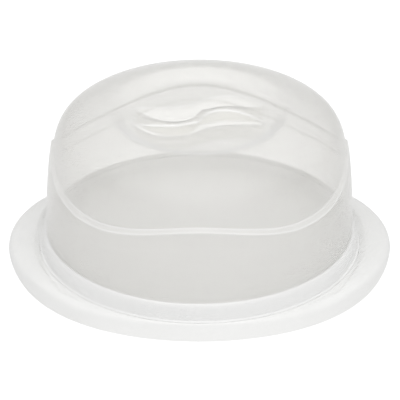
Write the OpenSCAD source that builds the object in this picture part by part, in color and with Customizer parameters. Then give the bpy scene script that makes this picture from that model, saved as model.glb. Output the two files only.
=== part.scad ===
// Cake carrier: an oval tray with two grip wings, and a round domed cover that stands
// on it and lifts straight off. Two thin-walled plastic mouldings.
// Millimetres. Origin on the table at the middle of the tray, +Z up, +X to the right
// along the tray's long axis, -Y towards the front.

/* [Tray] */
// Length of the tray over the two grip wings, at the foot of the skirt
tray_l = 389; // [384:1:396]
// Width of the tray, front to back, at the foot of the skirt
tray_w = 329; // [328:1:336]
// Height of the flat deck above the table
deck_z = 20; // [19:0.5:22]
// Wall thickness of the tray
tray_wall = 2.4; // [2:0.1:2.8]
// How far the inner edge of a grip wing stands above the deck
wing_rise = 5.0; // [3:0.2:6]
// Height of the finger arch under the tip of a wing
arch_h = 16.4; // [12:0.2:17]
// Half width of the finger arch, as the length over which it fades out
arch_w = 73; // [55:1:80]

/* [Locating ring and support ring] */
// Height of the locating ring above the deck
ring_h = 14.5; // [10:0.5:15]
// Radius of the support ring under the deck, at the middle of its wall
foot_r = 106; // [90:1:115]
// Width of the support ring's flat lower face
foot_w = 3; // [2:0.2:4]

/* [Cover] */
// Wall thickness of the cover
cover_wall = 1.6; // [1.4:0.1:1.8]
// Gap between the cover's rim and the deck it stands on
seat_gap = 0.3; // [0.2:0.1:0.4]
// Radius of the rim at its widest
rim_r = 162; // [161.6:0.1:162.2]
// Height of the highest point of the cover above the table
top_z = 174.8; // [174:0.2:177]
// Height of the step line at the two sides
step_side_z = 137.4; // [132:0.2:138]
// Height of the step line at its lowest, at the four corners
step_low_z = 105; // [104:0.2:112]
// Height of the step line at the front and the back
step_front_z = 120.4; // [114:0.2:124]

/* [Dish and grip] */
// Radius of the dish in the top of the cover, at its upper edge
dish_r = 89.6; // [88:0.2:92]
// Depth of the dish
dish_depth = 7.2; // [5:0.2:8]
// Depth of the two finger wells below the floor of the dish
well_depth = 18; // [12:0.5:20]
// How far the grip bar stands above the floor of the dish
bar_rise = 1.8; // [1:0.1:2.4]

/* [Hidden] */
$fn = 96;

floor_z = top_z - dish_depth;    // floor of the dish
well_z = floor_z - well_depth;   // bottom of the finger wells
eps = 0.01;

// ---- small helpers ----
function mix(a, b, t) = a + (b - a) * t;
function clamp01(t) = min(1, max(0, t));
function smooth(t) = let (c = clamp01(t)) c * c * (3 - 2 * c);
// Angle in degrees from the nearest side (left or right end) of the tray, 0 to 90
function from_side(a) = let (m = ((a % 180) + 180) % 180) m > 90 ? 180 - m : m;
// Point on a cubic curve with four control points
function bez(p, t) = let (s = 1 - t)
    s * s * s * p[0] + 3 * s * s * t * p[1] + 3 * s * t * t * p[2] + t * t * t * p[3];
function bez_run(p, n, first = 0) = [for (i = [first : n]) bez(p, i / n)];
// A profile (radius, height) moved to its own left by w, so an outside profile drawn
// upwards gives the inside face of a wall of thickness w
function shifted(p, w) = [for (i = [0 : len(p) - 1])
    let (a = p[max(0, i - 1)], b = p[min(len(p) - 1, i + 1)],
         d = b - a, l = norm(d)) p[i] + w * [-d[1], d[0]] / l];

// Closed skin through a ring of sections. pts holds n_st sections of n_pt points each,
// and every section is a closed loop.
module ring_of_sections(pts, n_st, n_pt) {
    polyhedron(points = pts, faces = [for (i = [0 : n_st - 1], j = [0 : n_pt - 1])
        let (i2 = (i + 1) % n_st, j2 = (j + 1) % n_pt,
             a = i * n_pt + j, b = i2 * n_pt + j, c = i2 * n_pt + j2, d = i * n_pt + j2)
        each [[a, b, c], [a, c, d]]], convexity = 8);
}

// ---- tray ----
tray_a = tray_l / 2;
tray_b = tray_w / 2;
skirt_draft = 0.05;      // the skirt leans in by this much per unit of height
deck_inner = 157.7;      // the brim starts here, inside the wall of the locating ring
n_tray = 96;             // sections round the brim

// Plan radius of the foot of the skirt
function tray_r(a) = tray_a * tray_b / sqrt(pow(tray_b * cos(a), 2) + pow(tray_a * sin(a), 2));
// How much of the wing there is at this angle: 1 at the tip, 0 from the corner on
function wing(a) = 1 - smooth((from_side(a) - 26) / 26);
// 1 along the tip of a wing, where the edge is tighter than at the corners
function tip(a) = 1 - smooth((from_side(a) - 25) / 20);
// Round-over of the brim's outer edge: how far in, and how far down
function edge_in(a) = 2.2 + 5.8 * smooth((86 - from_side(a)) / 40) - 3.0 * tip(a);
function edge_top(a) = deck_z + 3.5 * wing(a);
function skirt_foot(a) = arch_h * exp(-pow(tray_r(a) * sin(a) / arch_w, 2)) * (cos(a) * cos(a) > 0.05 ? 1 : 0)
                         - 0.42 * smooth((from_side(a) - 30) / 30);
function foot_z(a) = max(0, skirt_foot(a));
function edge_down(a) = min(3.0 + 5.0 * smooth((86 - from_side(a)) / 40) - 3.0 * tip(a), edge_top(a) - foot_z(a) - 1.6);
// Inner edge of the raised wing: foot and top of the little step up from the deck. At the
// tips it comes close to the cover's rim.
function wing_top(a) = min(163.1 + 11.5 * pow(from_side(a) / 37, 1.5), tray_r(a) - edge_in(a) - 1.4);
function wing_in(a) = wing_top(a) - 0.6 - 1.6 * smooth(from_side(a) / 14);

function brim_section(a) =
    let (R = tray_r(a), w = wing(a), c = wing_in(a), ct = wing_top(a), h = wing_rise * w, e = edge_in(a),
         zt = edge_top(a), f = edge_down(a), zf = foot_z(a), t = tray_wall,
         r_at = function (z) R - skirt_draft * z,
         re = r_at(zt) - e)
    concat(
        // upper side, going out
        [[deck_inner, deck_z], [c, deck_z], [mix(c, ct, 0.45), deck_z + h * 0.8], [ct, deck_z + h]],
        [for (k = [1 : 4]) let (u = k / 4) [mix(ct, re, u), mix(deck_z + h, zt, 1 - cos(90 * u)) ]],
        // rounded edge
        [for (k = [1 : 5]) let (q = 90 * k / 5) [re + (e - skirt_draft * 0) * sin(q) , zt - f * (1 - cos(q))]],
        // foot of the skirt
        [[r_at(zf) , zf], [r_at(zf) - t, zf]],
        // under side, going in
        [for (k = [4 : -1 : 1]) let (q = 90 * k / 5) [re + (e - t) * sin(q), max(zf + 0.2 * (5 - k) / 5, zt - t - (f - t * 0.5) * (1 - cos(q)))]],
        [for (k = [4 : -1 : 1]) let (u = k / 4) [mix(ct + t * 0.6, re, u), mix(deck_z + h, zt, 1 - cos(90 * u)) - t]],
        [[ct + t * 0.6, deck_z + h - t], [c + t * 0.7, deck_z - t], [deck_inner, deck_z - t]]);

module brim() {
    secs = [for (i = [0 : n_tray - 1]) brim_section(360 * i / n_tray)];
    n_pt = len(secs[0]);
    pts = [for (i = [0 : n_tray - 1], p = secs[i])
        [p[0] * cos(360 * i / n_tray), p[0] * sin(360 * i / n_tray), p[1]]];
    ring_of_sections(pts, n_tray, n_pt);
}

// Low ring that the cover's rim stands round. Its slope follows the inside of the rim.
module locating_ring() {
    top = deck_z + ring_h;
    rotate_extrude() polygon([
        [156.3, deck_z - tray_wall - 0.6], [158.7, deck_z - tray_wall - 0.6], [158.7, deck_z],
        [155.6, top - 1.2], [155.0, top - 0.3], [154.4, top], [153.9, top - 0.3], [153.4, top - 1.2]]);
}

module support_ring() {
    rotate_extrude() polygon([
        [foot_r - foot_w / 2, 0], [foot_r + foot_w / 2, 0],
        [foot_r + foot_w / 2 + 0.3, deck_z - tray_wall + 0.4], [foot_r - foot_w / 2 - 0.3, deck_z - tray_wall + 0.4]]);
}

module base_tray() {
    color("whitesmoke") union() {
        translate([0, 0, deck_z - tray_wall]) cylinder(r = 157.3, h = tray_wall);
        locating_ring();
        support_ring();
        brim();
    }
}

// ---- cover ----
lip_z = deck_z + seat_gap;

// Outside of the foot of the rim, which is a narrow flange
foot_out = [[rim_r - 0.3, lip_z], [rim_r, lip_z + 0.3], [rim_r, lip_z + 1.0], [rim_r - 0.3, lip_z + 1.3]];
// Outside of the rim band and the wall up to the height where the crown has taken over
wall_out = concat(
    [[rim_r - 1.2, lip_z + 1.6], [rim_r - 5.1, lip_z + 16.2], [rim_r - 5.7, lip_z + 17.2], [rim_r - 6.4, lip_z + 17.8]],
    bez_run([[155.5, 38.8], [155.4, 75], [153.9, 118], [148.9, 142]], 8));
// Outside of the crown, from inside the wall up to the edge of the dish
crown_out = concat(
    [[149.2, 96]],
    bez_run([[149.0, 112], [148.9, 134], [147.0, 151.7], [134.7, 158.7]], 8),
    bez_run([[134.7, 158.7], [121, 166.5], [106, top_z - 2.2], [dish_r + 1.9, top_z]], 6, 1),
    [[dish_r + 0.3, top_z - 0.1], [dish_r - 1.2, top_z - 0.9], [dish_r - 14.0, floor_z + 0.4], [dish_r - 15.6, floor_z]]);

// Height of the step line round the cover
function step_z(a) = let (u = from_side(a))
    u < 45 ? step_low_z + (step_side_z - step_low_z) * pow(1 - (sqrt(u * u + 4) - 2) / 43.05, 2.5)
           : step_low_z + (step_front_z - step_low_z) * smooth((u - 45) / 45);

module crown_solid(w) {
    p = shifted(crown_out, w);
    rotate_extrude() polygon(concat([[0, 96]], [[p[0][0], 96]], [for (i = [1 : len(p) - 1]) p[i]],
        [[0, floor_z - w]]));
}

module body_solid(w, z0) {
    p = w == 0 ? concat(foot_out, wall_out) : concat([[rim_r - 2.8, z0], [rim_r - 2.8, lip_z + 1.0]], shifted(wall_out, w));
    n = len(p);
    rotate_extrude() polygon(concat([[0, z0]], [[p[0][0], z0]], [for (i = [1 : n - 1]) p[i]], [[0, p[n - 1][1]]]));
}

// Everything below the step. The step faces up and out: it falls as it goes out.
module below_step(drop) {
    n = 120;
    rings = [[60, 0], [146, 0.75 * 5], [170, -0.75 * 19]];
    pts = concat(
        [[0, 0, 100 - drop]],
        [for (k = [0 : 2], i = [0 : n - 1]) let (a = 360 * i / n)
            [rings[k][0] * cos(a), rings[k][0] * sin(a), (k == 0 ? 100 : step_z(a) + rings[k][1]) - drop]],
        [for (i = [0 : n - 1]) let (a = 360 * i / n) [170 * cos(a), 170 * sin(a), 0]],
        [[0, 0, 0]]);
    function v(k, i) = 1 + k * n + (i % n);
    last = 1 + 4 * n;
    polyhedron(points = pts, faces = concat(
        [for (i = [0 : n - 1]) [0, v(0, i + 1), v(0, i)]],
        [for (k = [0 : 2], i = [0 : n - 1]) each [[v(k, i), v(k, i + 1), v(k + 1, i + 1)], [v(k, i), v(k + 1, i + 1), v(k + 1, i)]]],
        [for (i = [0 : n - 1]) [last, v(3, i), v(3, i + 1)]]), convexity = 6);
}

// ---- grip ----
// Distance of the bar's middle line in front of the cover's centre, at x
function bar_mid(x) = let (u = abs(x) / 69) (x < 0 ? 1 : -1) * 16 * sin(180 * pow(clamp01(u), 0.75));
// Half the bar's width, measured front to back
function bar_half(x) = 4.3 + 5.8 * exp(-pow(x / 6, 2)) + (abs(x) > 24 ? 12.6 * pow((abs(x) - 24) / 41.5, 2) : 0);
// Front edge of the front well, measured in front of the centre
function well_front(x) = 16.8 + 24.6 * exp(-pow(abs(x + 28.5) / (x > -28.5 ? 33.4 : 31.4), x > -28.5 ? 2.6 : 3));

// Outline of the front finger well. The rear one is the same, turned by half a turn.
well_x0 = -62;
well_x1 = 62;
n_well = 31;
well_outline = concat(
    [for (i = [0 : n_well]) let (x = mix(well_x0, well_x1, i / n_well)) [x, -(bar_mid(x) + bar_half(x))]],
    [for (i = [n_well : -1 : 0]) let (x = mix(well_x0, well_x1, i / n_well))
        [x, -max(well_front(x), bar_mid(x) + bar_half(x) + 2.5)]]);

module well_2d() { polygon(well_outline); }

module each_well() { for (s = [0, 180]) rotate(s) children(); }

// Raised top of the grip bar
module bar_top() {
    n = 24;
    inset = 0.7;
    pts = concat(
        [for (i = [0 : n]) let (x = mix(-47, 47, i / n)) [x, -(bar_mid(x) - bar_half(x) + inset)]],
        [for (i = [n : -1 : 0]) let (x = mix(-47, 47, i / n)) [x, -(bar_mid(x) + bar_half(x) - inset)]]);
    translate([0, 0, floor_z - 1]) linear_extrude(1 + bar_rise) polygon(pts);
}

module dome_cover() {
    w = cover_wall;
    color("gainsboro", 0.6) difference() {
        union() {
            difference() {
                union() {
                    crown_solid(0);
                    intersection() { body_solid(0, lip_z); below_step(0); }
                }
                union() {
                    crown_solid(w);
                    intersection() { body_solid(w, lip_z - 5); below_step(w * 1.25); }
                }
            }
            each_well() translate([0, 0, well_z - w]) linear_extrude(well_depth + w * 0.6) offset(delta = w) well_2d();
            bar_top();
        }
        each_well() translate([0, 0, well_z]) linear_extrude(well_depth + 10) well_2d();
    }
}

base_tray();
dome_cover();
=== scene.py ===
import math

import bpy
import numpy as np
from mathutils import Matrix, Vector
from mathutils.geometry import delaunay_2d_cdt


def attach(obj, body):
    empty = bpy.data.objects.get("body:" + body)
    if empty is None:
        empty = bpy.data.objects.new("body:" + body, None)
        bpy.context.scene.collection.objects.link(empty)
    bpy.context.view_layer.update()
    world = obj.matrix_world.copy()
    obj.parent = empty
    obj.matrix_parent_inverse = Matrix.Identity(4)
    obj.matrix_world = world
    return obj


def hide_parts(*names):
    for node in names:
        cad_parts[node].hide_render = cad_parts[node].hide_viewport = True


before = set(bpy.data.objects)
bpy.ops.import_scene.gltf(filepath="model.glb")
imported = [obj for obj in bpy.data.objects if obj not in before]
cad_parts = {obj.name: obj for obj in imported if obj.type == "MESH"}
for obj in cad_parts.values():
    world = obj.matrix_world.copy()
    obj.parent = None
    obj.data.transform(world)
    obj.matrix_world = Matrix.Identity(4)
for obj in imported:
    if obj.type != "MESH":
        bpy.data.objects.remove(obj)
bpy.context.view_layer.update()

scene = bpy.context.scene
MM = 0.001

# ------------------------------------------------------------------ shape rules
# The same rules as the construction model, in millimetres, evaluated finely.
TRAY_A, TRAY_B = 194.5, 164.5      # half axes of the skirt's foot
DECK, WALL, WING = 20.0, 2.4, 5.0
ARCH_H, ARCH_W = 16.4, 73.0
LIP, TOP, DISH_FLOOR = 20.3, 174.8, 167.6
COVER_WALL = 1.6
WELL_DEPTH = 18.0


def smooth(t):
    t = np.clip(t, 0.0, 1.0)
    return t * t * (3 - 2 * t)


def mix(a, b, t):
    return a + (b - a) * t


def from_side(a):
    m = a % 180.0
    return 180.0 - m if m > 90.0 else m


def bez(p, t):
    p = np.array(p, float)
    t = np.asarray(t, float)[:, None]
    s = 1 - t
    return s ** 3 * p[0] + 3 * s * s * t * p[1] + 3 * s * t * t * p[2] + t ** 3 * p[3]


def rounded(corners, seg):
    """A polyline whose inner corners (radius, height, rounding) are round. Every corner
    gives seg + 1 points, so sections with the same corners have the same number of points."""
    c = [np.array(p[:2], float) for p in corners]
    out = [c[0]]
    for i in range(1, len(c) - 1):
        rad = corners[i][2]
        d1, d2 = c[i] - c[i - 1], c[i + 1] - c[i]
        l1, l2 = np.hypot(*d1), np.hypot(*d2)
        d1, d2 = d1 / max(l1, 1e-9), d2 / max(l2, 1e-9)
        turn = math.atan2(d1[0] * d2[1] - d1[1] * d2[0], float(d1 @ d2))
        cut = rad * math.tan(abs(turn) / 2)
        room = 0.47 * min(l1 if i > 1 else 2 * l1, l2 if i < len(c) - 2 else 2 * l2)
        if cut > room:
            rad, cut = rad * room / cut, room
        side = 1 if turn > 0 else -1
        n = np.array([-d1[1], d1[0]]) * side
        start = c[i] - d1 * cut
        mid = start + n * rad
        for k in range(seg + 1):
            q = turn * k / seg
            v = start - mid
            out.append(mid + np.array([v[0] * math.cos(q) - v[1] * math.sin(q),
                                       v[0] * math.sin(q) + v[1] * math.cos(q)]))
    out.append(c[-1])
    return [tuple(p) for p in out]


# ------------------------------------------------------------------ tray
def tray_r(a):
    q = math.radians(a)
    return TRAY_A * TRAY_B / math.hypot(TRAY_B * math.cos(q), TRAY_A * math.sin(q))


def wing(a):
    return 1 - float(smooth((from_side(a) - 26) / 26))


def tip(a):
    return 1 - float(smooth((from_side(a) - 25) / 20))


def edge_in(a):
    return 2.2 + 5.8 * float(smooth((86 - from_side(a)) / 40)) - 3.0 * tip(a)


def edge_top(a):
    return DECK + 3.5 * wing(a)


def foot_z(a):
    q = math.radians(a)
    near = 1.0 if math.cos(q) ** 2 > 0.05 else 0.0
    return max(0.0, ARCH_H * math.exp(-(tray_r(a) * math.sin(q) / ARCH_W) ** 2) * near
               - 0.42 * float(smooth((from_side(a) - 30) / 30)))


def edge_down(a):
    return min(3 + 5 * float(smooth((86 - from_side(a)) / 40)) - 3.0 * tip(a), edge_top(a) - foot_z(a) - 1.6)


def wing_top(a):
    return min(163.1 + 11.5 * (from_side(a) / 37) ** 1.5, tray_r(a) - edge_in(a) - 1.4)


def wing_in(a):
    return wing_top(a) - 0.6 - 1.6 * float(smooth(from_side(a) / 14))


def tray_section(a):
    """From just beside the axis on the upper side, out over the brim, down the skirt and
    back in along the underside."""
    R, w, e = tray_r(a), wing(a), edge_in(a)
    c = max(wing_in(a) - 0.3, 160.0)
    ct = max(wing_top(a) + 0.4, c + 0.7)
    h, zt, f, zf, t = WING * w, edge_top(a), edge_down(a), foot_z(a), WALL
    lean = lambda z: R - 0.05 * z
    re = lean(zt) - e
    pts = [(r, DECK) for r in (8, 25, 45, 65, 85, 105, 122, 136, 146)]
    # locating ring
    pts += rounded([(151.5, DECK), (155.77, DECK, 0.9), (153.19, 34.5, 0.95), (155.32, 34.5, 0.95),
                    (158.7, DECK, 0.5), (159.5, DECK)], 6)
    pts += [(mix(159.5, c, k / 3), DECK) for k in (1, 2, 3)]
    # step up to the wing: a soft slope beside the cover, a short step further round
    soft = 1 - float(smooth(from_side(a) / 32))
    ct = min(ct + 7.0 * soft, re - 0.2)
    for k in range(1, 13):
        u = (k / 12) ** (1 + soft)
        low = 1 - (1 - u) ** 1.6
        pts.append((mix(c, ct, u), DECK + h * mix(float(smooth(u)), low, soft)))
    # top of the wing
    span = max(re - ct, 0.2)
    pts += [(mix(ct, ct + span, k / 14), mix(DECK + h, zt, 1 - math.cos(math.pi / 2 * k / 14)))
            for k in range(1, 15)]
    # round edge, which starts with the slope of the wing
    slope = (DECK + h - zt) * math.pi / 2 / span * e / f
    s0 = min(0.6, slope / (1 - min(slope, 0.6)))
    q0 = math.asin(max(0.0, s0))
    full = 1 - 0.26 * (1 - w)      # away from the wings the edge is squarer than an ellipse
    for k in range(1, 14):
        q = mix(q0, math.pi / 2, k / 13)
        out, down = (math.sin(q) - s0) / (1 - s0), 1 - max(0.0, math.cos(q) / math.cos(q0)) ** full
        pts.append((re + e * out ** full, zt - f * down))
    # skirt, its foot, and up the inside
    inner = (re + e - t, max(zf + 0.42, zt - t - (f - t / 2)))
    pts += [(mix(pts[-1][0], lean(zf), k / 4), mix(zt - f, zf + 0.55, k / 4)) for k in (1, 2, 3)]
    pts += rounded([(mix(re + e, lean(zf), 0.97), zf + 0.6), (lean(zf), zf, 0.5), (lean(zf) - t, zf, 0.35), inner], 4)
    for k in range(1, 9):
        q = math.pi / 2 * (1 - k / 8)
        pts.append((re + (e - t) * math.sin(q), max(inner[1], zt - t - (f - t / 2) * (1 - math.cos(q)))))
    c = wing_in(a)
    r0 = min(c + 3.2, re - 0.05)
    pts += [(mix(re, r0, k / 6), mix(DECK + h, zt, 1 - math.cos(math.pi / 2 * (1 - k / 6))) - t) for k in range(1, 7)]
    pts += [(min(c + 3.2 - 2.8 * k / 6, re - 0.05 - 0.4 * k), DECK - t + h * float(smooth(1 - k / 6))) for k in range(1, 7)]
    # underside of the deck with the support ring
    b = DECK - t
    pts += [(r, b) for r in (157, 148, 136, 124, 114)]
    pts += rounded([(110, b), (107.85, b, 0.8), (107.5, 0, 0.5), (104.5, 0, 0.5), (104.15, b, 0.8), (101, b)], 5)
    pts += [(r, b) for r in (85, 65, 45, 25, 10, 5.0)]
    # mark of the moulding gate
    pts += [(4.4, b + 0.05), (4.0, b + 0.3), (1.6, b + 0.3), (1.3, b + 0.12)]
    return pts


def polar_mesh(sections, angles, top_z, bottom_z):
    """Closed mesh from one section per angle, with a pole at either end."""
    n_a, n_p = len(sections), len(sections[0])
    rz = np.array(sections, float)
    ca, sa = np.cos(np.radians(angles))[:, None], np.sin(np.radians(angles))[:, None]
    verts = np.stack([rz[..., 0] * ca, rz[..., 0] * sa, rz[..., 1]], -1).reshape(-1, 3)
    verts = np.vstack([verts, [[0, 0, top_z], [0, 0, bottom_z]]])
    top, bottom = n_a * n_p, n_a * n_p + 1
    faces = []
    for i in range(n_a):
        j = (i + 1) % n_a
        faces.append((top, i * n_p, j * n_p))
        for k in range(n_p - 1):
            faces.append((i * n_p + k, i * n_p + k + 1, j * n_p + k + 1, j * n_p + k))
        faces.append((bottom, j * n_p + n_p - 1, i * n_p + n_p - 1))
    return verts, faces


def new_object(name, verts, faces, material):
    mesh = bpy.data.meshes.new(name)
    mesh.from_pydata((np.asarray(verts) * MM).tolist(), [], faces)
    mesh.validate()
    mesh.polygons.foreach_set("use_smooth", [True] * len(mesh.polygons))
    mesh.update()
    ob = bpy.data.objects.new(name, mesh)
    scene.collection.objects.link(ob)
    mesh.materials.append(material)
    return ob


# ------------------------------------------------------------------ cover
def step_z(a):
    u = from_side(a)
    if u < 45:
        return 105 + 32.4 * (1 - (math.sqrt(u * u + 4) - 2) / 43.05) ** 2.5
    return 105 + 15.4 * float(smooth((u - 45) / 45))


_body = bez([[155.5, 38.8], [155.4, 75], [153.9, 118], [148.9, 142]], np.linspace(0, 1, 400))
_crown = np.vstack([[[149.2, 96]], bez([[149.0, 112], [148.9, 134], [147.0, 151.7], [134.7, 158.7]], np.linspace(0, 1, 400)),
                    bez([[134.7, 158.7], [121, 166.5], [106, 172.6], [91.5, TOP]], np.linspace(0, 1, 200))[1:]])
_crown_s = np.concatenate([[0], np.cumsum(np.hypot(*np.diff(_crown, axis=0).T))])


def r_body(z):
    return float(np.interp(z, _body[:, 1], _body[:, 0]))


def r_crown(z):
    return float(np.interp(z, _crown[:, 1], _crown[:, 0]))


def crown_at(s):
    return (float(np.interp(s, _crown_s, _crown[:, 0])), float(np.interp(s, _crown_s, _crown[:, 1])))


def meet(curve, zs):
    """Height at which the sloping ledge of the step meets a curve r(z)."""
    lo, hi = 90.0, 150.0
    for _ in range(40):
        m = (lo + hi) / 2
        if m + 0.75 * (curve(m) - 151) < zs:
            lo = m
        else:
            hi = m
    return (lo + hi) / 2


N_RIM = 6            # corners' segments of the rim
PATCH_R = 72.5
S_146 = float(np.interp(146.0, _crown[:, 1], _crown_s))
S_END = float(np.interp(-93.2, -_crown[:, 0], _crown_s))
RIM_OUT = rounded([(162.0, 20.10), (162.0, 20.85, 0.35), (160.8, 22.1, 0.6), (156.55, 37.5, 1.8), (155.5, 38.5, 0.9), (155.5, 41.0)], N_RIM)
RIM_IN = rounded([(159.2, 20.12), (159.2, 21.3, 0.3), (158.75, 23.0, 0.5), (154.85, 37.0, 1.2), (153.9, 38.3, 1.4), (153.9, 41.0)], N_RIM)
DISH_EDGE = rounded([crown_at(S_END), (90.63, 174.915, 3.5), (74.87, DISH_FLOOR, 4.0), (PATCH_R, DISH_FLOOR)], 9)
CREASE = 18.0        # a faint second line runs this far below the step


N_FILLET = 7
N_WALL_LOW, N_WALL_HIGH = 25, 8


def cover_section(a):
    zs = step_z(a)
    zb, zc = meet(r_body, zs), meet(r_crown, zs)
    pts = list(RIM_OUT)
    low = zb - CREASE - 2.4
    heights = [mix(41.0, low, k / 15) for k in range(1, 16)]
    heights += [zb - CREASE + d for d in (-1.7, -1.2, -0.8, -0.4, 0.0, 0.4, 0.8, 1.2, 1.7, 2.6)]
    heights += [mix(zb - CREASE + 2.6, zb - 1.6, k / 8) for k in range(1, 9)]
    for z in heights:
        pts.append((r_body(z) + 0.2 * math.exp(-((z - zb + CREASE) / 0.6) ** 2), z))
    s0 = float(np.interp(zc + 1.4, _crown[:, 1], _crown_s))
    pts += rounded([pts[-1], (r_body(zb), zb, 1.8), (r_crown(zc), zc, 1.3), crown_at(s0)], N_FILLET)[1:]
    pts += [crown_at(mix(s0, S_146, k / 10)) for k in range(1, 11)]
    pts += [crown_at(mix(S_146, S_END, k / 34)) for k in range(1, 34)]
    edge = DISH_EDGE
    wall = [(mix(edge[10][0], edge[11][0], k / 4), mix(edge[10][1], edge[11][1], k / 4)) for k in (1, 2, 3)]
    pts += edge[:11] + wall + edge[11:]
    return pts


def section_milk_and_highlight(a):
    """For each point of the cover section at angle a, how much milkier and whiter the plastic is drawn
    than the plain wall. The rim band is milkier plastic; the lip bead, the two edges of the step and the rim of the
    dish (strongest on the front side) are whitened as painted highlights."""
    front = 0.15 + 0.85 * float(smooth((0.35 - math.sin(math.radians(a))) / 1.2))
    # lip bead: milkier plastic with a painted highlight; rim band: milkier plastic
    milk_and_highlight = [LIP_MILK_AND_HIGHLIGHT if z < 22.15 else RIM_MILK for r, z in RIM_OUT]
    milk_and_highlight = [m * float(smooth((39.6 - z) / 1.4)) for m, (r, z) in zip(milk_and_highlight, RIM_OUT)]
    crease = [0.0] * 15 + [0.02, 0.06, 0.15, 0.25, 0.3, 0.25, 0.15, 0.06, 0.02, 0.0]
    milk_and_highlight += crease + [0.0] * N_WALL_HIGH
    # the step's two fillets are whitened as painted highlight lines
    edge = [0.5, 1.0, 1.0, 0.9, 0.75, 0.6, 0.5, 0.4][:N_FILLET + 1]
    milk_and_highlight += [STEP_HIGHLIGHT * v for v in edge]
    milk_and_highlight += [STEP_HIGHLIGHT * v for v in edge[::-1]]
    milk_and_highlight += [0.0] * 11
    milk_and_highlight += [0.0] * 33
    # the dish rim is whitened as a painted highlight, strongest on the front side
    crest = [front * DISH_RIM_HIGHLIGHT * math.exp(-((k - 6) / 2.6) ** 2) for k in range(11)]
    near = float(smooth((-math.sin(math.radians(a)) - 0.05) / 0.6))
    foot = [0.5 * near * DISH_RIM_HIGHLIGHT * (1 - k / (len(DISH_EDGE) - 12)) for k in range(len(DISH_EDGE) - 11)]
    milk_and_highlight += crest + [0.5 * near * DISH_RIM_HIGHLIGHT] * 3 + foot
    return np.array(milk_and_highlight)


# how strongly each part is whitened: the lip, step, dish and well values are painted highlights, the rim value is
# milkier plastic
LIP_MILK_AND_HIGHLIGHT, RIM_MILK, STEP_HIGHLIGHT, DISH_RIM_HIGHLIGHT, WELL_EDGE_HIGHLIGHT = 1.15, 0.95, 0.95, 1.0, 0.6
WELL_THIN, WELL_PAINTED_SHADE = 0.138, 1.0


# ---- grip: two finger wells with an S-shaped bar between them
def bar_mid(x):
    u = np.clip(np.abs(x) / 69, 0, 1)
    return np.where(x < 0, 1, -1) * 16 * np.sin(np.pi * u ** 0.75)


def bar_half(x):
    ax = np.abs(x)
    return 4.3 + 5.8 * np.exp(-(x / 6) ** 2) + np.where(ax > 24, 12.6 * ((ax - 24) / 41.5) ** 2, 0)


def well_front(x):
    right = x > -28.5
    return 16.8 + 24.6 * np.exp(-(np.abs(x + 28.5) / np.where(right, 33.4, 31.4)) ** np.where(right, 2.6, 3.0))


def closed_resample(p, step):
    q = np.vstack([p, p[:1]])
    s = np.concatenate([[0], np.cumsum(np.hypot(*np.diff(q, axis=0).T))])
    n = max(8, int(round(s[-1] / step)))
    t = np.linspace(0, s[-1], n, endpoint=False)
    return np.stack([np.interp(t, s, q[:, 0]), np.interp(t, s, q[:, 1])], 1)


def closed_soften(p, sigma, step):
    k = np.arange(-12, 13) * step
    g = np.exp(-(k / sigma) ** 2 / 2)
    g /= g.sum()
    return sum(w * np.roll(p, int(i), axis=0) for w, i in zip(g, range(-12, 13)))


def well_outline():
    x = np.linspace(-64, 64, 321)
    back = -(bar_mid(x) + bar_half(x))
    front = -np.maximum(well_front(x), bar_mid(x) + bar_half(x) + 2.5)
    p = np.vstack([np.stack([x, back], 1), np.stack([x, front], 1)[::-1]])
    return closed_soften(closed_resample(p, 0.3), 1.0, 0.3)


FRONT_WELL = closed_resample(well_outline(), 0.5)
REAR_WELL = -FRONT_WELL


def inside_distance(pts, poly):
    """Signed distance to a closed outline, positive inside."""
    a = poly
    b = np.roll(poly, -1, axis=0)
    d = b - a
    best = np.full(len(pts), 1e9)
    odd = np.zeros(len(pts), bool)
    for i in range(len(a)):
        ap = pts - a[i]
        t = np.clip((ap @ d[i]) / (d[i] @ d[i]), 0, 1)
        best = np.minimum(best, ((ap - t[:, None] * d[i]) ** 2).sum(1))
        up = (a[i, 1] > pts[:, 1]) != (b[i, 1] > pts[:, 1])
        if up.any():
            xs = a[i, 0] + (pts[:, 1] - a[i, 1]) * d[i, 0] / (d[i, 1] if d[i, 1] else 1e-12)
            odd ^= up & (pts[:, 0] < xs)
    return np.sqrt(best) * np.where(odd, 1, -1)


WALL_RUN = WELL_DEPTH * math.tan(math.radians(7))
WELL_PROFILE = np.array(rounded([(-6, 0), (0, 0, 1.8), (WALL_RUN, -WELL_DEPTH, 3.4), (16, -WELL_DEPTH)], 6))


def well_drop(sd):
    return np.interp(sd, WELL_PROFILE[:, 0], WELL_PROFILE[:, 1])


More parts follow.
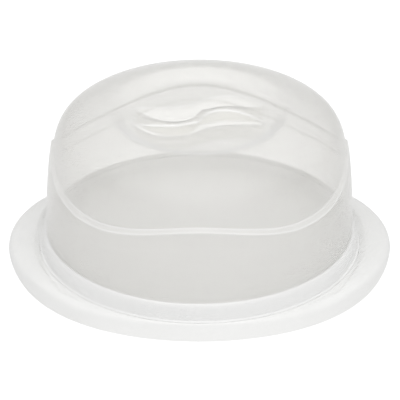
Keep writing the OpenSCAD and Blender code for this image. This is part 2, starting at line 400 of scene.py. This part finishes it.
def contour(field, x0, y0, h, level):
    """Closed lines of a gridded field at one level, by marching squares."""
    f = field - level
    ny, nx = f.shape
    links = {}

    def crossing(kind, j, i):
        if kind == 0:
            t = f[j, i] / (f[j, i] - f[j, i + 1])
            return (x0 + (i + t) * h, y0 + j * h)
        t = f[j, i] / (f[j, i] - f[j + 1, i])
        return (x0 + i * h, y0 + (j + t) * h)

    s = f > 0
    mixed = (s[:-1, :-1] != s[:-1, 1:]) | (s[:-1, :-1] != s[1:, :-1]) | (s[:-1, :-1] != s[1:, 1:])
    for j, i in zip(*np.nonzero(mixed)):
        cuts = []
        if s[j, i] != s[j, i + 1]:
            cuts.append((0, j, i))
        if s[j, i + 1] != s[j + 1, i + 1]:
            cuts.append((1, j, i + 1))
        if s[j + 1, i] != s[j + 1, i + 1]:
            cuts.append((0, j + 1, i))
        if s[j, i] != s[j + 1, i]:
            cuts.append((1, j, i))
        pairs = [(cuts[0], cuts[1])] if len(cuts) == 2 else [(cuts[0], cuts[1]), (cuts[2], cuts[3])]
        for u, v in pairs:
            links.setdefault(u, []).append(v)
            links.setdefault(v, []).append(u)
    loops, seen = [], set()
    for start in list(links):
        if start in seen:
            continue
        loop, at, prev = [], start, None
        while at is not None and at not in seen:
            seen.add(at)
            loop.append(crossing(*at))
            nxt = [w for w in links[at] if w != prev and w not in seen]
            prev, at = at, (nxt[0] if nxt else None)
        if len(loop) > 6:
            loops.append(np.array(loop))
    return loops


def dish_points():
    """Points and fixed edges of the dish's floor, along the contours of the wells."""
    h = 0.4
    x0, y0 = -70.0, -50.0
    gx, gy = np.arange(x0, 70.01, h), np.arange(y0, 50.01, h)
    X, Y = np.meshgrid(gx, gy)
    grid = inside_distance(np.stack([X.ravel(), Y.ravel()], 1), FRONT_WELL).reshape(X.shape)
    levels = [-3.0] + sorted({round(float(v), 3) for v in WELL_PROFILE[1:-1, 0]}) + [8.0]
    wall = WELL_PROFILE[7, 0], WELL_PROFILE[8, 0]
    levels += [mix(wall[0], wall[1], t) for t in (0.25, 0.5, 0.75)]
    pts, edges = [], []

    def add(loop, closed=True):
        n0, n = len(pts), len(loop)
        pts.extend(map(tuple, loop))
        edges.extend((n0 + k, n0 + (k + 1) % n) for k in range(n if closed else n - 1))

    ring = [(PATCH_R * math.cos(math.radians(a)), PATCH_R * math.sin(math.radians(a))) for a in ANGLES]
    add(ring)
    for lv in levels:
        for loop in contour(grid, x0, y0, h, lv):
            loop = closed_resample(loop, 0.8)
            if len(loop) < 10:
                continue
            add(loop)
            add(-loop)
    x = np.linspace(-58, 58, 117)
    add(np.stack([x, -bar_mid(x)], 1), closed=False)
    for r, n in ((66.5, 120),):
        q = np.arange(n) * 2 * np.pi / n
        loop = np.stack([r * np.cos(q), r * np.sin(q)], 1)
        far = np.minimum(-inside_distance(loop, FRONT_WELL), -inside_distance(loop, REAR_WELL)) > 4.2
        for p in loop[far]:
            pts.append(tuple(p))
    return pts, edges


def dish_height(p):
    """Height of the dish's floor with its wells and the crowned bar, at points (x, y)."""
    df, dr = inside_distance(p, FRONT_WELL), inside_distance(p, REAR_WELL)
    z = DISH_FLOOR + well_drop(df) + well_drop(dr)
    out = np.clip(np.minimum(-df, -dr), 0, None)
    x, y = p[:, 0], p[:, 1]
    on_bar = np.abs(y + bar_mid(x)) < bar_half(x) + 1.0
    z += 1.8 * smooth(out / 3.6) * (1 - smooth((np.abs(x) - 36) / 20)) * on_bar
    return z


def vertex_normals(verts, tris):
    a, b, c = verts[tris[:, 0]], verts[tris[:, 1]], verts[tris[:, 2]]
    n = np.cross(b - a, c - a)
    ln = np.maximum(np.linalg.norm(n, axis=1, keepdims=True), 1e-12)
    unit = n / ln
    out = np.zeros_like(verts)
    for k in range(3):
        p, q, r = verts[tris[:, k]], verts[tris[:, (k + 1) % 3]], verts[tris[:, (k + 2) % 3]]
        u, v = q - p, r - p
        cosv = (u * v).sum(1) / np.maximum(np.linalg.norm(u, axis=1) * np.linalg.norm(v, axis=1), 1e-12)
        ang = np.arccos(np.clip(cosv, -1, 1))
        np.add.at(out, tris[:, k], unit * ang[:, None])
    return out / np.maximum(np.linalg.norm(out, axis=1, keepdims=True), 1e-12)


N_A = 360
ANGLES = np.arange(N_A) * 360.0 / N_A


def cover_mesh():
    secs = np.array([cover_section(a) for a in ANGLES], float)
    n_p = secs.shape[1]
    n_rim = len(RIM_OUT)
    ca, sa = np.cos(np.radians(ANGLES))[:, None], np.sin(np.radians(ANGLES))[:, None]
    grid = np.stack([secs[..., 0] * ca, secs[..., 0] * sa, secs[..., 1]], -1).reshape(-1, 3)
    quads = [(i * n_p + k, (i + 1) % N_A * n_p + k, (i + 1) % N_A * n_p + k + 1, i * n_p + k + 1)
             for i in range(N_A) for k in range(n_p - 1)]
    pts, edges = dish_points()
    made = delaunay_2d_cdt([Vector(p) for p in pts], edges, [], 0, 1e-6)
    flat = np.array([tuple(v) for v in made[0]], float)
    back = {}
    for new, olds in enumerate(made[3]):
        for o in olds:
            if o < N_A:
                back[new] = o
    z = dish_height(flat)
    n0 = len(grid)
    index, extra = [], []
    for k in range(len(flat)):
        if k in back:
            index.append(back[k] * n_p + n_p - 1)
        else:
            index.append(n0 + len(extra))
            extra.append((flat[k, 0], flat[k, 1], z[k]))
    outer = np.vstack([grid, np.array(extra)])
    tris = []
    for f in made[2]:
        ids = [index[v] for v in f]
        p = [flat[v] for v in f]
        area = sum(p[k][0] * p[(k + 1) % len(p)][1] - p[(k + 1) % len(p)][0] * p[k][1] for k in range(len(p)))
        if abs(area) < 1e-9:
            continue
        tris.append(tuple(ids if area > 0 else ids[::-1]))
    skin = quads + tris
    flat_tris = np.array([t for f in skin for t in ([f] if len(f) == 3 else [(f[0], f[1], f[2]), (f[0], f[2], f[3])])])
    normals = vertex_normals(outer, flat_tris)
    inner = outer - normals * COVER_WALL
    rim = np.array(RIM_IN, float)
    for k in range(n_rim):
        inner[np.arange(N_A) * n_p + k] = np.stack([rim[k, 0] * ca[:, 0], rim[k, 0] * sa[:, 0], np.full(N_A, rim[k, 1])], 1)
    n1 = len(outer)
    lip = np.stack([160.6 * ca[:, 0], 160.6 * sa[:, 0], np.full(N_A, LIP - 0.24)], 1)
    verts = np.vstack([outer, inner, lip])
    skin_milk_and_highlight = np.zeros(n1)
    skin_milk_and_highlight[:n0] = np.concatenate([section_milk_and_highlight(a) for a in ANGLES])
    p2 = outer[n0:, :2]
    sd = np.maximum(inside_distance(p2, FRONT_WELL), inside_distance(p2, REAR_WELL))
    bar = (1 - smooth((np.abs(p2[:, 0]) - 46) / 12)) * np.exp(-((np.abs(p2[:, 1] + bar_mid(p2[:, 0])) - bar_half(p2[:, 0])) / 1.5) ** 2)
    step = np.array([[0.0, 0.2]])
    ahead = np.maximum(inside_distance(p2 + step, FRONT_WELL), inside_distance(p2 + step, REAR_WELL))
    away = np.clip((ahead - sd) / 0.2, -1, 1)      # 1 where the edge falls away from the front
    lit = 0.35 + 0.65 * smooth(-away * 1.5)
    drop = -well_drop(sd)
    # the wells' rims are whitened as a painted highlight, more along the bar and where the edge faces the front; the
    # well walls are drawn clearer
    skin_milk_and_highlight[n0:] = WELL_EDGE_HIGHLIGHT * np.exp(-((drop - 0.4) / 0.7) ** 2) * (1 + bar) * lit * smooth(sd + 2.2)
    skin_milk_and_highlight[n0:] -= WELL_THIN * smooth((drop - 0.8) / 1.6)
    # a painted dark line along the wells' front edges, where they fall away from the front
    skin_painted_shade = np.zeros(n1)
    skin_painted_shade[n0:] = WELL_PAINTED_SHADE * np.exp(-((drop - 0.7) / 0.5) ** 2) * smooth(away * 1.3) * smooth(sd + 2.2)
    milk_and_highlight = np.concatenate([skin_milk_and_highlight, skin_milk_and_highlight, np.ones(N_A)])
    painted_shade = np.concatenate([skin_painted_shade, skin_painted_shade, np.zeros(N_A)])
    faces = list(skin) + [tuple(v + n1 for v in f[::-1]) for f in skin]
    for i in range(N_A):
        j = (i + 1) % N_A
        o0, o1, m0, m1 = i * n_p, j * n_p, 2 * n1 + i, 2 * n1 + j
        faces.append((o0, m0, m1, o1))
        faces.append((m0, n1 + o0, n1 + o1, m1))
    return verts, faces, milk_and_highlight, painted_shade


# ------------------------------------------------------------------ materials
def node(tree, kind, x, y, **values):
    n = tree.nodes.new(kind)
    n.location = (x, y)
    for k, v in values.items():
        if hasattr(n, k):
            setattr(n, k, v)
        else:
            n.inputs[k.replace("_", " ")].default_value = v
    return n


def new_material(name):
    m = bpy.data.materials.new(name)
    m.use_nodes = True
    m.node_tree.nodes.clear()
    return m, m.node_tree


def noise(tree, coords, scale, detail, x, y):
    n = node(tree, "ShaderNodeTexNoise", x, y)
    n.inputs["Scale"].default_value = scale
    n.inputs["Detail"].default_value = detail
    n.inputs["Roughness"].default_value = 0.55
    tree.links.new(coords, n.inputs["Vector"])
    return n


def ramp(tree, fac, lo, hi, x, y, p0=0.3, p1=0.7):
    r = node(tree, "ShaderNodeValToRGB", x, y)
    r.color_ramp.elements[0].position = p0
    r.color_ramp.elements[1].position = p1
    r.color_ramp.elements[0].color = (*lo, 1)
    r.color_ramp.elements[1].color = (*hi, 1)
    tree.links.new(fac, r.inputs["Fac"])
    return r


def span(tree, fac, lo, hi, x, y, f0=0.3, f1=0.7):
    r = node(tree, "ShaderNodeMapRange", x, y)
    r.inputs["From Min"].default_value = f0
    r.inputs["From Max"].default_value = f1
    r.inputs["To Min"].default_value = lo
    r.inputs["To Max"].default_value = hi
    tree.links.new(fac, r.inputs["Value"])
    return r


def tray_material():
    m, t = new_material("tray_white_plastic")
    coords = node(t, "ShaderNodeTexCoord", -1400, 0).outputs["Object"]
    cloud = noise(t, coords, 14, 4, -1100, 200)
    fine = noise(t, coords, 1500, 2, -1100, -100)
    wave = noise(t, coords, 60, 3, -1100, -400)
    colour = ramp(t, cloud.outputs["Fac"], (0.868, 0.868, 0.858), (0.888, 0.888, 0.880), -800, 200)
    rough = span(t, wave.outputs["Fac"], 0.30, 0.40, -800, -300)
    b1 = node(t, "ShaderNodeBump", -500, -200)
    b1.inputs["Strength"].default_value = 0.05
    b1.inputs["Distance"].default_value = 0.00005
    t.links.new(fine.outputs["Fac"], b1.inputs["Height"])
    s = node(t, "ShaderNodeBsdfPrincipled", -200, 100)
    s.inputs["IOR"].default_value = 1.49
    t.links.new(colour.outputs["Color"], s.inputs["Base Color"])
    t.links.new(rough.outputs["Result"], s.inputs["Roughness"])
    t.links.new(b1.outputs["Normal"], s.inputs["Normal"])
    out = node(t, "ShaderNodeOutputMaterial", 200, 100)
    t.links.new(s.outputs["BSDF"], out.inputs["Surface"])
    return m


def maths(tree, op, a, b, x, y):
    n = node(tree, "ShaderNodeMath", x, y)
    n.operation = op
    for k, v in enumerate((a, b)):
        if isinstance(v, (int, float)):
            n.inputs[k].default_value = v
        else:
            tree.links.new(v, n.inputs[k])
    return n.outputs[0]


def cover_material():
    """A slightly hazy see-through plastic. Each face lets part of the light straight
    through, less where it is seen edge on and where the moulding is milkier.
    The colour is whitened where the mesh is marked milkier, which includes painted highlights, and darkened where a
    painted dark line is marked."""
    m, t = new_material("cover_translucent_plastic")
    coords = node(t, "ShaderNodeTexCoord", -1900, 0).outputs["Object"]
    cloud = noise(t, coords, 9, 4, -1650, 300)
    fine = noise(t, coords, 900, 2, -1650, -300)
    wave = noise(t, coords, 26, 3, -1650, -600)
    milk_and_highlight = node(t, "ShaderNodeAttribute", -1650, 0)
    milk_and_highlight.attribute_name = "milk_and_highlight"
    milk_and_highlight = milk_and_highlight.outputs["Fac"]
    tint = ramp(t, cloud.outputs["Fac"], COVER_LO, COVER_HI, -1300, 500)
    # whiten the colour where the plastic is milkier and where highlights are painted
    white = node(t, "ShaderNodeMix", -1000, 500)
    white.data_type = "RGBA"
    t.links.new(maths(t, "MAXIMUM", milk_and_highlight, 0.0, -1150, 400), white.inputs[0])
    t.links.new(tint.outputs["Color"], white.inputs[6])
    white.inputs[7].default_value = (*COVER_MILK_AND_HIGHLIGHT, 1)
    # painted shade: darken the colour to a dark line where the mesh is marked for it
    painted_dark_line = node(t, "ShaderNodeAttribute", -1300, 700)
    painted_dark_line.attribute_name = "painted_shade"
    painted_dark_line = painted_dark_line.outputs["Fac"]
    edge = node(t, "ShaderNodeMix", -780, 500)
    edge.data_type = "RGBA"
    t.links.new(painted_dark_line, edge.inputs[0])
    t.links.new(white.outputs[2], edge.inputs[6])
    edge.inputs[7].default_value = (*COVER_PAINTED_SHADE, 1)
    colour = edge.outputs[2]
    clear = span(t, cloud.outputs["Fac"], CLEAR + 0.008, CLEAR - 0.008, -1300, 150)
    rough = span(t, wave.outputs["Fac"], 0.22, 0.30, -1300, -550)
    facing = node(t, "ShaderNodeLayerWeight", -1300, -150)
    facing.inputs["Blend"].default_value = 0.5
    facing = facing.outputs["Facing"]
    cosine = maths(t, "MAXIMUM", maths(t, "SUBTRACT", 1.0, facing, -1100, -150), 0.1, -940, -150)
    extra = maths(t, "MULTIPLY", maths(t, "ADD", milk_and_highlight, painted_dark_line, -1260, 20), MILK_DEPTH, -1100, 20)
    depth = maths(t, "DIVIDE", maths(t, "ADD", 1.0, extra, -940, 20), cosine, -780, -60)
    through = maths(t, "POWER", clear.outputs["Result"], depth, -620, 60)
    mirror = maths(t, "ADD", maths(t, "MULTIPLY", maths(t, "POWER", facing, 5.0, -940, -300), 0.7, -780, -300), 0.03, -620, -300)
    b1 = node(t, "ShaderNodeBump", -940, -480)
    b1.inputs["Strength"].default_value = 0.08
    b1.inputs["Distance"].default_value = 0.00004
    t.links.new(fine.outputs["Fac"], b1.inputs["Height"])
    front = node(t, "ShaderNodeBsdfDiffuse", -400, 400)
    behind = node(t, "ShaderNodeBsdfTranslucent", -400, 250)
    for n in (front, behind):
        t.links.new(colour, n.inputs["Color"])
        t.links.new(b1.outputs["Normal"], n.inputs["Normal"])
    haze = node(t, "ShaderNodeMixShader", -200, 350)
    t.links.new(maths(t, "SUBTRACT", 0.5, maths(t, "MULTIPLY", milk_and_highlight, 0.42, -620, 560), -460, 560), haze.inputs[0])
    t.links.new(front.outputs[0], haze.inputs[1])
    t.links.new(behind.outputs[0], haze.inputs[2])
    open_ = node(t, "ShaderNodeBsdfTransparent", -200, 180)
    open_.inputs["Color"].default_value = COVER_TINT
    wall = node(t, "ShaderNodeMixShader", 0, 250)
    t.links.new(through, wall.inputs[0])
    t.links.new(haze.outputs[0], wall.inputs[1])
    t.links.new(open_.outputs[0], wall.inputs[2])
    gloss = node(t, "ShaderNodeBsdfGlossy", 0, 0)
    gloss.inputs["Color"].default_value = (1, 1, 1, 1)
    t.links.new(rough.outputs["Result"], gloss.inputs["Roughness"])
    t.links.new(b1.outputs["Normal"], gloss.inputs["Normal"])
    skin = node(t, "ShaderNodeMixShader", 200, 150)
    t.links.new(mirror, skin.inputs[0])
    t.links.new(wall.outputs[0], skin.inputs[1])
    t.links.new(gloss.outputs[0], skin.inputs[2])
    out = node(t, "ShaderNodeOutputMaterial", 400, 150)
    t.links.new(skin.outputs[0], out.inputs["Surface"])
    return m


CLEAR = 0.805         # share of light that goes straight through one face, head on
MILK_DEPTH = 6.0
COVER_LO, COVER_HI = (0.880, 0.875, 0.860), (0.902, 0.897, 0.884)
# colour of the milky plastic and of the painted highlights
COVER_MILK_AND_HIGHLIGHT = (0.985, 0.985, 0.98)
# colour of the painted dark lines at the wells' front edges
COVER_PAINTED_SHADE = (0.42, 0.41, 0.41)
COVER_TINT = (0.996, 0.995, 0.990, 1)

TRAY_MAT, COVER_MAT = tray_material(), cover_material()

# ------------------------------------------------------------------ pieces
sections = [tray_section(a) for a in ANGLES]
verts, faces = polar_mesh(sections, ANGLES, DECK, DECK - WALL + 0.12)
tray = new_object("tray_moulding", verts, faces, TRAY_MAT)
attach(tray, "tray")
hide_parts("base_tray")

verts, faces, milk_and_highlight, painted_shade = cover_mesh()
cover = new_object("cover_moulding", verts, faces, COVER_MAT)
for name, values in (("milk_and_highlight", milk_and_highlight), ("painted_shade", painted_shade)):
    layer = cover.data.attributes.new(name, "FLOAT", "POINT")
    layer.data.foreach_set("value", values.astype(np.float32))
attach(cover, "cover")
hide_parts("dome_cover")

# ------------------------------------------------------------------ stage
WORLD, FLOOR_GLOW, TOP_LOBE, FRONT_LOBE, SIDE_DIM = 0.54, 0.72, 0.76, 0.90, 0.22
FRONT_WAY = (0.07, -0.74, 0.67)


fm, ft = new_material("floor_pale")
fs = node(ft, "ShaderNodeBsdfDiffuse", 0, 0)
fs.inputs["Color"].default_value = (0.20, 0.20, 0.20, 1)
fe = node(ft, "ShaderNodeEmission", 0, -150)
fe.inputs["Color"].default_value = (1, 1, 1, 1)
# the floor shows as plain white, and lights the object a little less than it shows
seen = node(ft, "ShaderNodeLightPath", -600, -150).outputs["Is Camera Ray"]
ft.links.new(maths(ft, "ADD", FLOOR_GLOW, maths(ft, "MULTIPLY", seen, 1.0 - FLOOR_GLOW, -400, -150), -200, -150), fe.inputs["Strength"])
fa = node(ft, "ShaderNodeAddShader", 200, 0)
ft.links.new(fs.outputs["BSDF"], fa.inputs[0])
ft.links.new(fe.outputs["Emission"], fa.inputs[1])
fo = node(ft, "ShaderNodeOutputMaterial", 400, 0)
ft.links.new(fa.outputs["Shader"], fo.inputs["Surface"])
floor = new_object("floor", [(-40000, -40000, 0), (40000, -40000, 0), (40000, 40000, 0), (-40000, 40000, 0)], [(0, 1, 2, 3)], fm)

# Light from all round: even, with one soft lobe straight above and one high in front
world = bpy.data.worlds.new("studio")
world.use_nodes = True
wt = world.node_tree
bg = wt.nodes["Background"]
bg.inputs["Color"].default_value = (1, 1, 1, 1)
way = node(wt, "ShaderNodeTexCoord", -1200, 0).outputs["Generated"]


def lobe(direction, power, strength, y):
    d = Vector(direction).normalized()
    dot = node(wt, "ShaderNodeVectorMath", -1000, y)
    dot.operation = "DOT_PRODUCT"
    wt.links.new(way, dot.inputs[0])
    dot.inputs[1].default_value = d
    up = maths(wt, "MAXIMUM", dot.outputs["Value"], 0.0, -800, y)
    return maths(wt, "MULTIPLY", maths(wt, "POWER", up, power, -600, y), strength, -400, y)


total = maths(wt, "ADD", lobe((0, 0, 1), 4.0, TOP_LOBE, 0), lobe(FRONT_WAY, 3.0, FRONT_LOBE, -200), -200, 0)
# and a little darker towards the left and right
side = node(wt, "ShaderNodeVectorMath", -1000, -400)
side.operation = "DOT_PRODUCT"
wt.links.new(way, side.inputs[0])
side.inputs[1].default_value = (1, 0, 0)
side = maths(wt, "MULTIPLY", side.outputs["Value"], side.outputs["Value"], -800, -400)
total = maths(wt, "ADD", total, maths(wt, "MULTIPLY", side, -SIDE_DIM, -400, -400), -100, -200)
total = maths(wt, "ADD", total, WORLD, 0, 0)
wt.links.new(total, bg.inputs["Strength"])
bg.location = (200, 0)
wt.nodes["World Output"].location = (400, 0)
scene.world = world

cam_data = bpy.data.cameras.new("camera")
cam = bpy.data.objects.new("camera", cam_data)
scene.collection.objects.link(cam)
scene.camera = cam
ELEV, DIST = math.radians(29.63), 10.0
target = Vector((0.0005, 0.0, 0.0702))
cam.location = target + DIST * Vector((0, -math.cos(ELEV), math.sin(ELEV)))
cam.rotation_euler = (target - cam.location).to_track_quat("-Z", "Y").to_euler()
cam_data.sensor_width = 36
cam_data.lens = 88.81 * DIST
cam_data.clip_end = 200

scene.cycles.transparent_max_bounces = 32
scene.cycles.denoising_input_passes = "RGB"
scene.view_settings.view_transform = "Standard"
scene.view_settings.look = "None"
scene.view_settings.exposure = 0.0
scene.view_settings.gamma = 1.0
